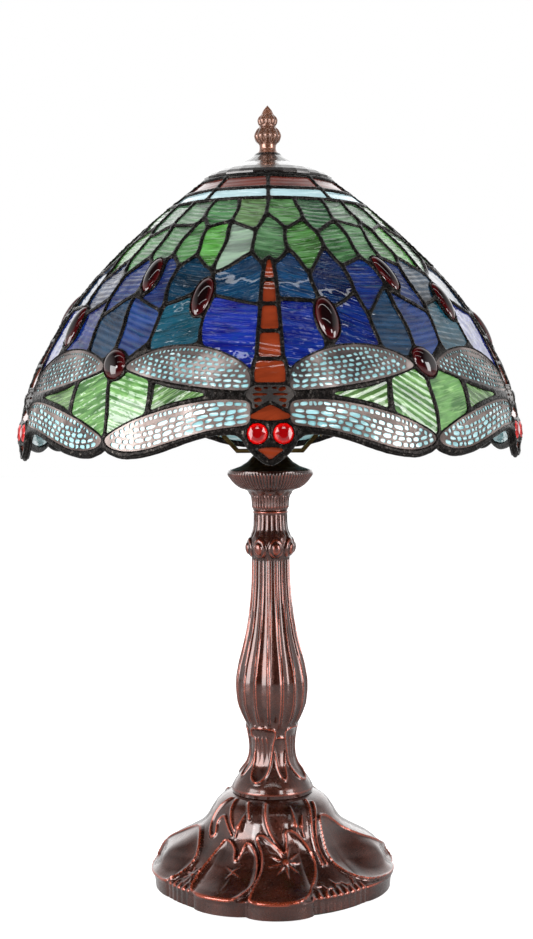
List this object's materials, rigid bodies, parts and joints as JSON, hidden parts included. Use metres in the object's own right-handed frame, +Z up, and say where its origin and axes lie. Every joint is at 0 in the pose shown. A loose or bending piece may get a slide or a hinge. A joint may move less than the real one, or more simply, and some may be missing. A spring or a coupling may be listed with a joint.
{
  "type": "stained glass table lamp",
  "caption": "Table lamp with a domed leaded glass shade of dragonflies, held by a harp and finial on a fluted cast column and a lily pad base.",
  "frame": {"origin": "centre of the underside of the felt under the base, where the lamp stands", "axes": "+Z up along the lamp's axis, -Y towards the front dragonfly, +X to the right seen from the front; the harp lies in the XZ plane"},
  "size_m": [0.4026, 0.4028, 0.635],
  "materials": {
    "antique_bronze": "dark brown lacquered casting with red-brown rubbed edges",
    "aged_brass": "aged, brushed",
    "steel": "zinc plated",
    "felt": "felt",
    "black_plastic": "moulded",
    "frosted_glass": "frosted white",
    "black_solder": "black patina solder, glossy",
    "rust_red_glass": "opalescent, glossy",
    "aqua_glass": "opalescent, glossy",
    "green_glass": "streaky opalescent, rippled",
    "blue_glass": "streaky opalescent, rippled",
    "wing_filigree": "pale aqua glass under etched dark metal filigree",
    "red_jewel": "clear red, polished"
  },
  "bodies": {
    "base": {"felt_pad": "felt", "base_casting": "antique_bronze", "cord_bushing": "black_plastic", "column": "antique_bronze", "upper_cup": "antique_bronze", "cup_cover": "aged_brass", "lamp_pipe": "steel", "pipe_washer": "steel", "pipe_nut": "steel", "harp_saddle": "aged_brass", "harp_bow": "aged_brass", "socket_cap": "aged_brass", "socket_shell": "aged_brass"},
    "shade": {"harp_stud": "aged_brass", "vented_cap": "antique_bronze", "shade_top_ring": "black_solder", "crown_band_red": "rust_red_glass", "crown_band_aqua": "aqua_glass", "green_field": "green_glass", "dragonfly_1_body": "rust_red_glass", "dragonfly_1_upper_wing_left": "wing_filigree", "dragonfly_1_upper_wing_right": "wing_filigree", "dragonfly_1_lower_wing_left": "wing_filigree", "dragonfly_1_lower_wing_right": "wing_filigree", "blue_field_1": "blue_glass", "leaf_gusset_1": "green_glass", "dragonfly_2_body": "rust_red_glass", "dragonfly_2_upper_wing_left": "wing_filigree", "dragonfly_2_upper_wing_right": "wing_filigree", "dragonfly_2_lower_wing_left": "wing_filigree", "dragonfly_2_lower_wing_right": "wing_filigree", "blue_field_2": "blue_glass", "leaf_gusset_2": "green_glass", "dragonfly_3_body": "rust_red_glass", "dragonfly_3_upper_wing_left": "wing_filigree", "dragonfly_3_upper_wing_right": "wing_filigree", "dragonfly_3_lower_wing_left": "wing_filigree", "dragonfly_3_lower_wing_right": "wing_filigree", "blue_field_3": "blue_glass", "leaf_gusset_3": "green_glass", "dragonfly_4_body": "rust_red_glass", "dragonfly_4_upper_wing_left": "wing_filigree", "dragonfly_4_upper_wing_right": "wing_filigree", "dragonfly_4_lower_wing_left": "wing_filigree", "dragonfly_4_lower_wing_right": "wing_filigree", "blue_field_4": "blue_glass", "leaf_gusset_4": "green_glass", "dragonfly_5_body": "rust_red_glass", "dragonfly_5_upper_wing_left": "wing_filigree", "dragonfly_5_upper_wing_right": "wing_filigree", "dragonfly_5_lower_wing_left": "wing_filigree", "dragonfly_5_lower_wing_right": "wing_filigree", "blue_field_5": "blue_glass", "leaf_gusset_5": "green_glass"},
    "finial": {"finial": "antique_bronze"},
    "switch_key": {"switch_key": "black_plastic"},
    "bulb": {"bulb_base": "steel", "bulb_glass": "frosted_glass"},
    "ferrule_left": {"ferrule_left": "aged_brass"},
    "ferrule_right": {"ferrule_right": "aged_brass"}
  },
  "joints": [
    {"name": "shade_turn", "type": "hinge", "parent": "base", "child": "shade", "pos_m": [0, 0, 0.585], "axis": [0, 0, 1], "continuous": true},
    {"name": "finial_turn", "type": "hinge", "parent": "shade", "child": "finial", "pos_m": [0, 0, 0.6], "axis": [0, 0, 1], "continuous": true},
    {"name": "bulb_turn", "type": "hinge", "parent": "base", "child": "bulb", "pos_m": [0, 0, 0.41], "axis": [0, 0, 1], "continuous": true},
    {"name": "switch_key_turn", "type": "hinge", "parent": "base", "child": "switch_key", "pos_m": [0, -0.019, 0.3905], "axis": [0, -1, 0], "continuous": true},
    {"name": "ferrule_left_slide", "type": "slide", "parent": "base", "child": "ferrule_left", "axis": [-0.6691, 0, 0.7431], "range_m": [0, 0.01]},
    {"name": "ferrule_right_slide", "type": "slide", "parent": "base", "child": "ferrule_right", "axis": [0.6691, 0, 0.7431], "range_m": [0, 0.01]}
  ]
}
